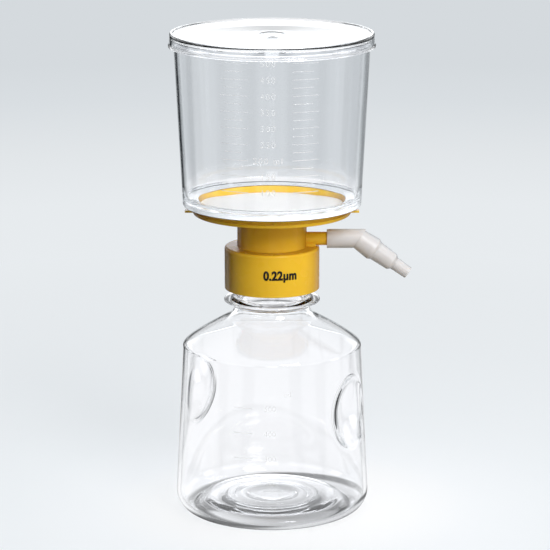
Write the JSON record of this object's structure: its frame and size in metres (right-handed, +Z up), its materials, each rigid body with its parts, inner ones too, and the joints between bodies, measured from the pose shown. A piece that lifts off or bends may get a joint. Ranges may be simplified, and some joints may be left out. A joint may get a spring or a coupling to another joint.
{
  "type": "vacuum filtration unit",
  "caption": "Clear receiver bottle with a screw-on yellow filter head, a lidded graduated funnel above the membrane, and a swivelling stepped hose adapter on a side arm.",
  "frame": {"origin": "on the surface the bottle stands on, under the middle of the whole outline, hose adapter included; the bottle's own axis passes 9.62 mm from it towards -X", "axes": "+Z up along the bottle's axis, +X along the side arm and its hose adapter"},
  "size_m": [0.1248, 0.1056, 0.251],
  "materials": {
    "clear_polystyrene": "clear, glossy",
    "yellow_polypropylene": "moulded, semi-gloss",
    "white_polyethylene": "moulded, translucent white",
    "membrane": "white microporous film",
    "silicone": "soft, matt",
    "cotton": "fibrous"
  },
  "bodies": {
    "bottle": {"bottle": "clear_polystyrene"},
    "gasket": {"neck_gasket": "silicone"},
    "head": {"filter_head": "yellow_polypropylene", "membrane": "membrane", "air_filter_plug": "cotton", "funnel": "clear_polystyrene"},
    "lid": {"lid": "clear_polystyrene"},
    "hose_adapter": {"hose_adapter": "white_polyethylene"}
  },
  "joints": [
    {"name": "head_rise", "type": "slide", "parent": "bottle", "child": "gasket", "axis": [0, 0, 1], "range_m": [0, 0.006]},
    {"name": "head_unscrew", "type": "hinge", "parent": "gasket", "child": "head", "pos_m": [-0.00962, 0, 0.13], "axis": [0, 0, 1], "range_deg": [0, 540]},
    {"name": "lid_lift", "type": "slide", "parent": "head", "child": "lid", "axis": [0, 0, 1], "range_m": [0, 0.03]},
    {"name": "hose_swivel", "type": "hinge", "parent": "head", "child": "hose_adapter", "pos_m": [0.02368, 0, 0.1439], "axis": [1, 0, 0], "continuous": true}
  ],
  "couplings": [
    {"joint": "head_rise", "follows": "head_unscrew", "m_per_rad": 0.0006366}
  ]
}
